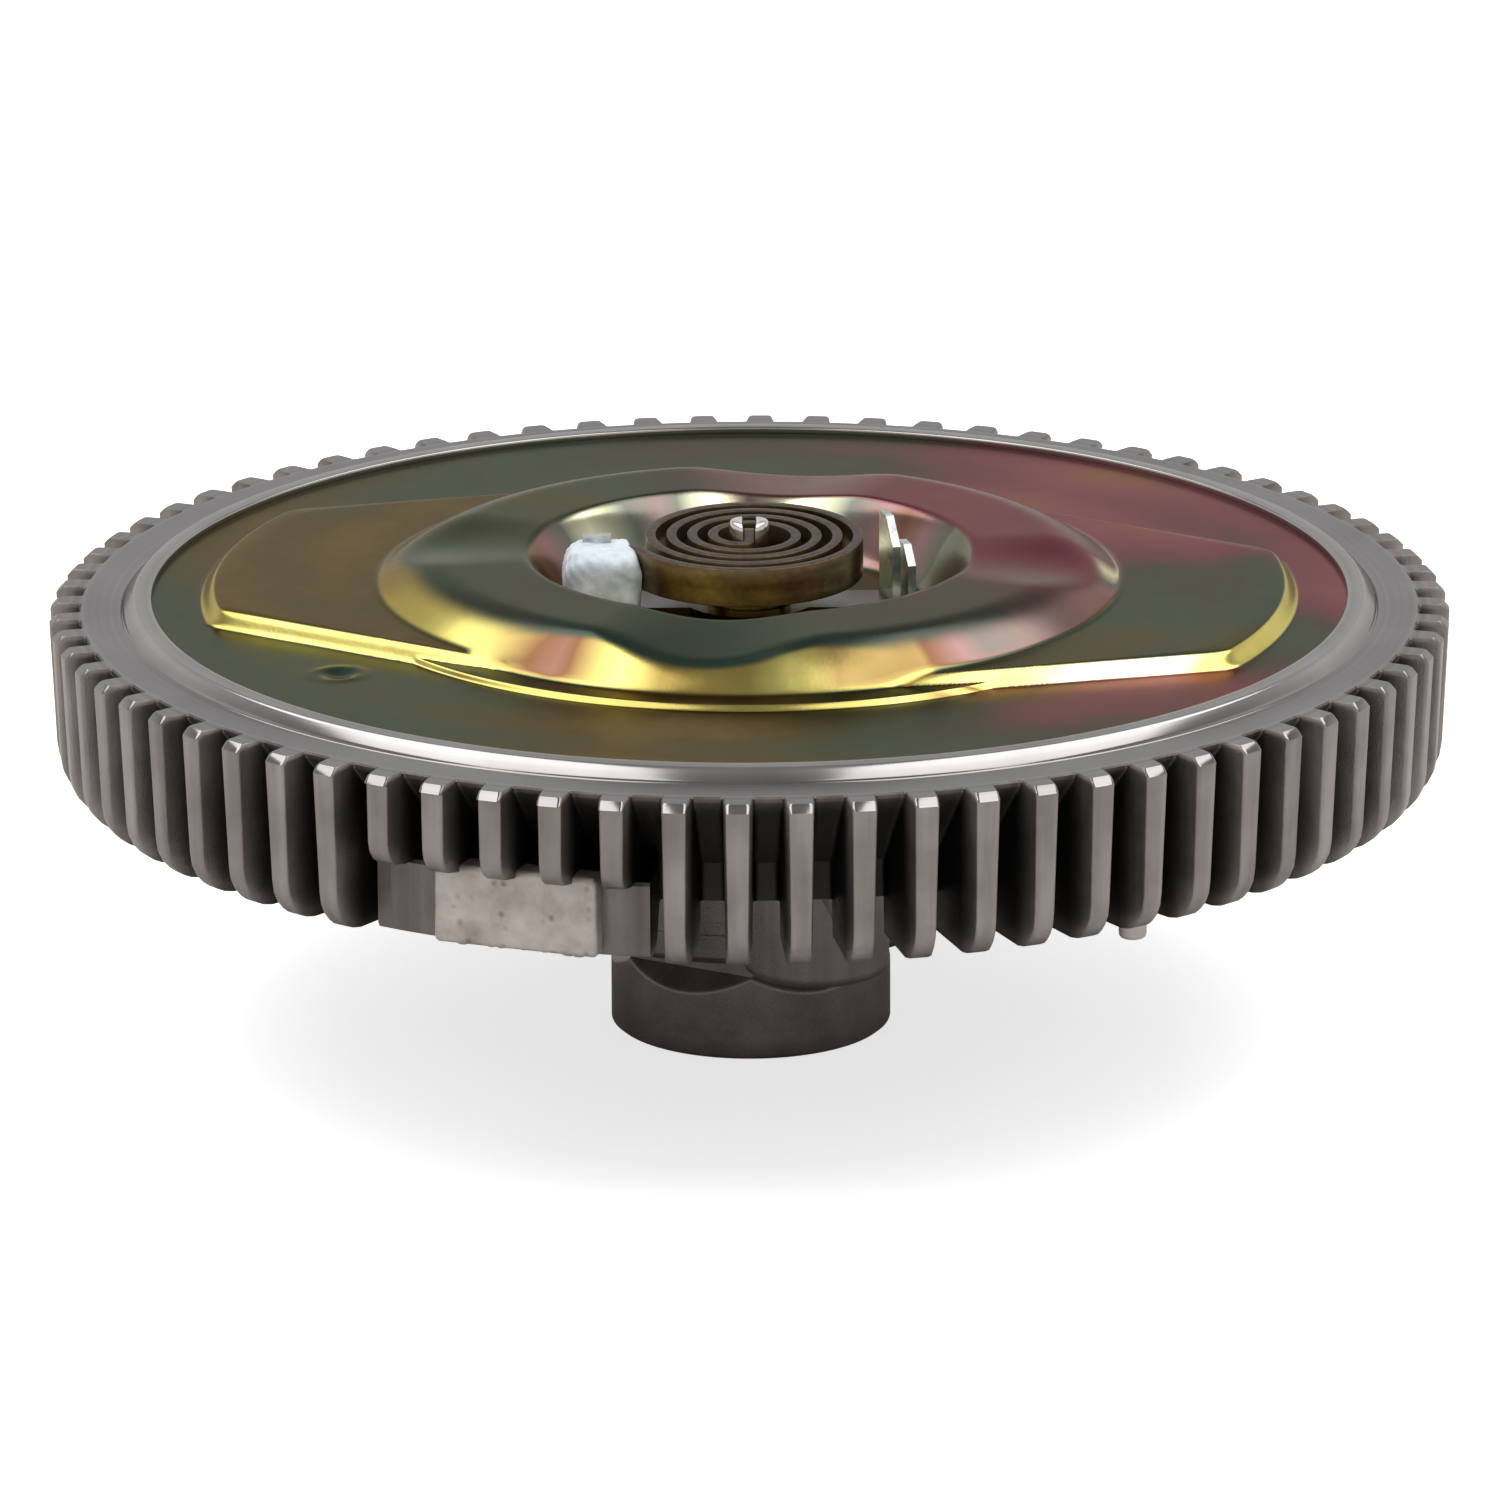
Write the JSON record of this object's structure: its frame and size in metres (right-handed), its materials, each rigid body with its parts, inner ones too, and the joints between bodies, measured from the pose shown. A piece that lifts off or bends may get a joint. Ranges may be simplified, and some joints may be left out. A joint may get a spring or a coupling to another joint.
{
  "type": "viscous fan clutch",
  "caption": "Viscous fan clutch with a finned aluminium housing, a yellow-plated pressed cover, a bimetal coil and a screw-on hexagon drive hub.",
  "frame": {"origin": "centre of the drive hub's end face, on the axis of rotation, which is also the bottom centre of the part standing on its hub", "axes": "+Z along the axis of rotation from the hub towards the cover, -Y towards the viewer of the picture, +X to the viewer's right"},
  "size_m": [0.209, 0.209, 0.0785],
  "materials": {
    "dark_steel": "dark phosphate, oiled",
    "bearing_steel": "ground and polished",
    "rotor_aluminium": "machined die casting",
    "spring_steel": "black oxide",
    "cast_aluminium": "die cast, rim face and lip machined",
    "yellow_plated_steel": "zinc plated, yellow chromate with a rainbow sheen",
    "seal_rubber": "moulded",
    "zinc_steel": "bright zinc plated",
    "wiper_plastic": "moulded",
    "shield_steel": "pressed sheet",
    "cage_brass": "machined",
    "bush_brass": "turned",
    "nickel_steel": "nickel plated",
    "bimetal": "bronze strip, dull",
    "sealant": "cured silicone"
  },
  "bodies": {
    "drive": {"drive_hub": "dark_steel", "bearing_inner_race": "bearing_steel", "rotor": "rotor_aluminium", "rotor_snap_ring": "spring_steel"},
    "housing": {"housing": "cast_aluminium", "cover": "yellow_plated_steel", "cover_seal": "seal_rubber", "divider_plate": "zinc_steel", "wiper_pad": "wiper_plastic", "wiper_rivets": "zinc_steel", "bearing_outer_race": "bearing_steel", "bearing_front_shield": "shield_steel", "bearing_rear_shield": "shield_steel", "bearing_circlip": "spring_steel", "shaft_bush": "bush_brass", "bimetal_coil": "bimetal", "coil_bracket": "zinc_steel", "coil_sealant": "sealant"},
    "ball_set": {"bearing_balls": "bearing_steel", "bearing_cage": "cage_brass"},
    "valve": {"valve_shaft": "nickel_steel", "valve_arm": "zinc_steel", "arm_washer": "zinc_steel", "shaft_o_ring": "seal_rubber"}
  },
  "joints": [
    {"name": "housing_spin", "type": "hinge", "parent": "drive", "child": "housing", "pos_m": [0, 0, 0.0315], "axis": [0, 0, 1], "continuous": true},
    {"name": "ball_spin", "type": "hinge", "parent": "drive", "child": "ball_set", "pos_m": [0, 0, 0.0315], "axis": [0, 0, 1], "continuous": true},
    {"name": "valve_turn", "type": "hinge", "parent": "housing", "child": "valve", "pos_m": [0, 0, 0.066], "axis": [0, 0, 1], "range_deg": [0, 35], "stiffness_Nm_per_rad": 0.05, "deforming": ["bimetal_coil"]}
  ],
  "couplings": [
    {"joint": "ball_spin", "follows": "housing_spin", "ratio": 0.59744}
  ]
}
